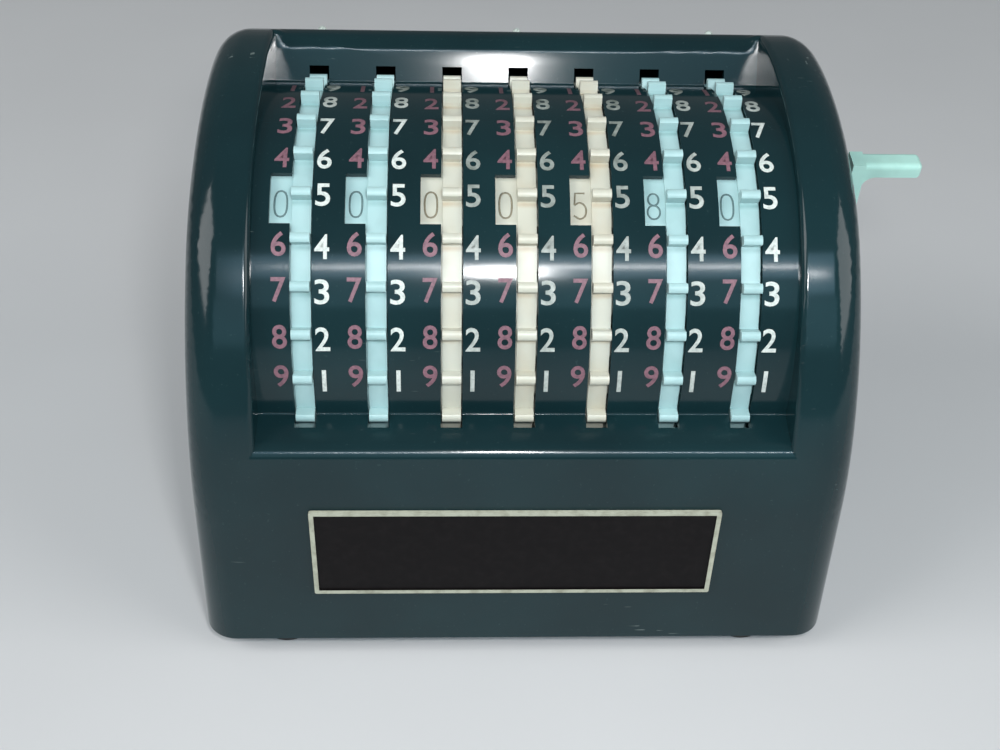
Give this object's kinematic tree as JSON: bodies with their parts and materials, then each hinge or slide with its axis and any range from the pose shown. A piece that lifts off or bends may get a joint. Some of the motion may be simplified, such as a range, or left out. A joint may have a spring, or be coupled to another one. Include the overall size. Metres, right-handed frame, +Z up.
{
  "type": "adding machine",
  "caption": "Desk adding machine: ribbed finger wheels stand through slots of a glossy moulded case, with digit windows beside them and a clearing lever at the side.",
  "frame": {"origin": "centre of the whole part's outline in plan, on the plane of the feet", "axes": "+X to the user's right along the wheels' axle, +Y to the back, +Z up"},
  "size_m": [0.167, 0.115, 0.1232],
  "materials": {
    "case": "glossy moulded dark blue-green plastic",
    "stud": "pale plastic",
    "plate": "black lacquer with a pale border",
    "base": "black lacquered sheet",
    "foot": "dark rubber",
    "aqua_wheel": "pale aqua plastic, smooth",
    "cream_wheel": "cream plastic, smooth",
    "lever": "pale green plastic",
    "pinion": "plain natural plastic",
    "steel": "zinc plated steel",
    "screw": "plated steel",
    "spring": "spring steel",
    "spacer": "turned aluminium",
    "bush": "turned brass"
  },
  "bodies": {
    "machine": {"top_housing": "case", "rim_studs": "stud", "name_plate": "plate", "base_plate": "base", "foot_1": "foot", "foot_2": "foot", "foot_3": "foot", "foot_4": "foot", "side_frame_left": "steel", "side_frame_right": "steel", "tie_rod_front": "steel", "tie_rod_top": "steel", "tie_rod_rear": "steel", "carry_shaft": "steel", "detent_rail": "steel", "foot_screws": "screw", "flange_screws": "screw", "frame_screws": "screw", "comb_screws": "screw", "shaft_clips": "screw", "detent_comb": "spring", "return_spring": "spring", "pinion_spacers": "spacer", "axle_bush_left": "bush", "axle_bush_right": "bush", "lever_bush": "bush"},
    "clearing": {"main_axle": "steel", "zero_catches": "spring", "clear_lever": "lever", "lever_screw": "screw", "axle_clip": "screw"},
    "wheel_1": {"wheel_1": "aqua_wheel"},
    "wheel_2": {"wheel_2": "aqua_wheel"},
    "wheel_3": {"wheel_3": "cream_wheel"},
    "wheel_4": {"wheel_4": "cream_wheel"},
    "wheel_5": {"wheel_5": "cream_wheel"},
    "wheel_6": {"wheel_6": "aqua_wheel"},
    "wheel_7": {"wheel_7": "aqua_wheel"},
    "pinion_1": {"pinion_1": "pinion"},
    "pinion_2": {"pinion_2": "pinion"},
    "pinion_3": {"pinion_3": "pinion"},
    "pinion_4": {"pinion_4": "pinion"},
    "pinion_5": {"pinion_5": "pinion"},
    "pinion_6": {"pinion_6": "pinion"}
  },
  "joints": [
    {"name": "wheel_1_turn", "type": "hinge", "parent": "machine", "child": "wheel_1", "pos_m": [-0.0563, 0.00325, 0.0685], "axis": [1, 0, 0], "continuous": true, "deforming": ["detent_comb"]},
    {"name": "wheel_2_turn", "type": "hinge", "parent": "machine", "child": "wheel_2", "pos_m": [-0.0403, 0.00325, 0.0685], "axis": [1, 0, 0], "continuous": true, "deforming": ["detent_comb"]},
    {"name": "wheel_3_turn", "type": "hinge", "parent": "machine", "child": "wheel_3", "pos_m": [-0.0243, 0.00325, 0.0685], "axis": [1, 0, 0], "continuous": true, "deforming": ["detent_comb"]},
    {"name": "wheel_4_turn", "type": "hinge", "parent": "machine", "child": "wheel_4", "pos_m": [-0.0083, 0.00325, 0.0685], "axis": [1, 0, 0], "continuous": true, "deforming": ["detent_comb"]},
    {"name": "wheel_5_turn", "type": "hinge", "parent": "machine", "child": "wheel_5", "pos_m": [0.0077, 0.00325, 0.0685], "axis": [1, 0, 0], "continuous": true, "deforming": ["detent_comb"]},
    {"name": "wheel_6_turn", "type": "hinge", "parent": "machine", "child": "wheel_6", "pos_m": [0.0237, 0.00325, 0.0685], "axis": [1, 0, 0], "continuous": true, "deforming": ["detent_comb"]},
    {"name": "wheel_7_turn", "type": "hinge", "parent": "machine", "child": "wheel_7", "pos_m": [0.0397, 0.00325, 0.0685], "axis": [1, 0, 0], "continuous": true, "deforming": ["detent_comb"]},
    {"name": "pinion_1_turn", "type": "hinge", "parent": "machine", "child": "pinion_1", "pos_m": [-0.0508, 0.04007, 0.03037], "axis": [1, 0, 0], "continuous": true},
    {"name": "pinion_2_turn", "type": "hinge", "parent": "machine", "child": "pinion_2", "pos_m": [-0.0348, 0.04007, 0.03037], "axis": [1, 0, 0], "continuous": true},
    {"name": "pinion_3_turn", "type": "hinge", "parent": "machine", "child": "pinion_3", "pos_m": [-0.0188, 0.04007, 0.03037], "axis": [1, 0, 0], "continuous": true},
    {"name": "pinion_4_turn", "type": "hinge", "parent": "machine", "child": "pinion_4", "pos_m": [-0.0028, 0.04007, 0.03037], "axis": [1, 0, 0], "continuous": true},
    {"name": "pinion_5_turn", "type": "hinge", "parent": "machine", "child": "pinion_5", "pos_m": [0.0132, 0.04007, 0.03037], "axis": [1, 0, 0], "continuous": true},
    {"name": "pinion_6_turn", "type": "hinge", "parent": "machine", "child": "pinion_6", "pos_m": [0.0292, 0.04007, 0.03037], "axis": [1, 0, 0], "continuous": true},
    {"name": "clearing_turn", "type": "hinge", "parent": "machine", "child": "clearing", "pos_m": [-0.0083, 0.00325, 0.0685], "axis": [1, 0, 0], "range_deg": [0, 120], "deforming": ["return_spring"]}
  ],
  "couplings": [
    {"joint": "pinion_1_turn", "follows": "wheel_1_turn", "ratio": -5},
    {"joint": "pinion_2_turn", "follows": "wheel_2_turn", "ratio": -5},
    {"joint": "pinion_3_turn", "follows": "wheel_3_turn", "ratio": -5},
    {"joint": "pinion_4_turn", "follows": "wheel_4_turn", "ratio": -5},
    {"joint": "pinion_5_turn", "follows": "wheel_5_turn", "ratio": -5},
    {"joint": "pinion_6_turn", "follows": "wheel_6_turn", "ratio": -5}
  ]
}
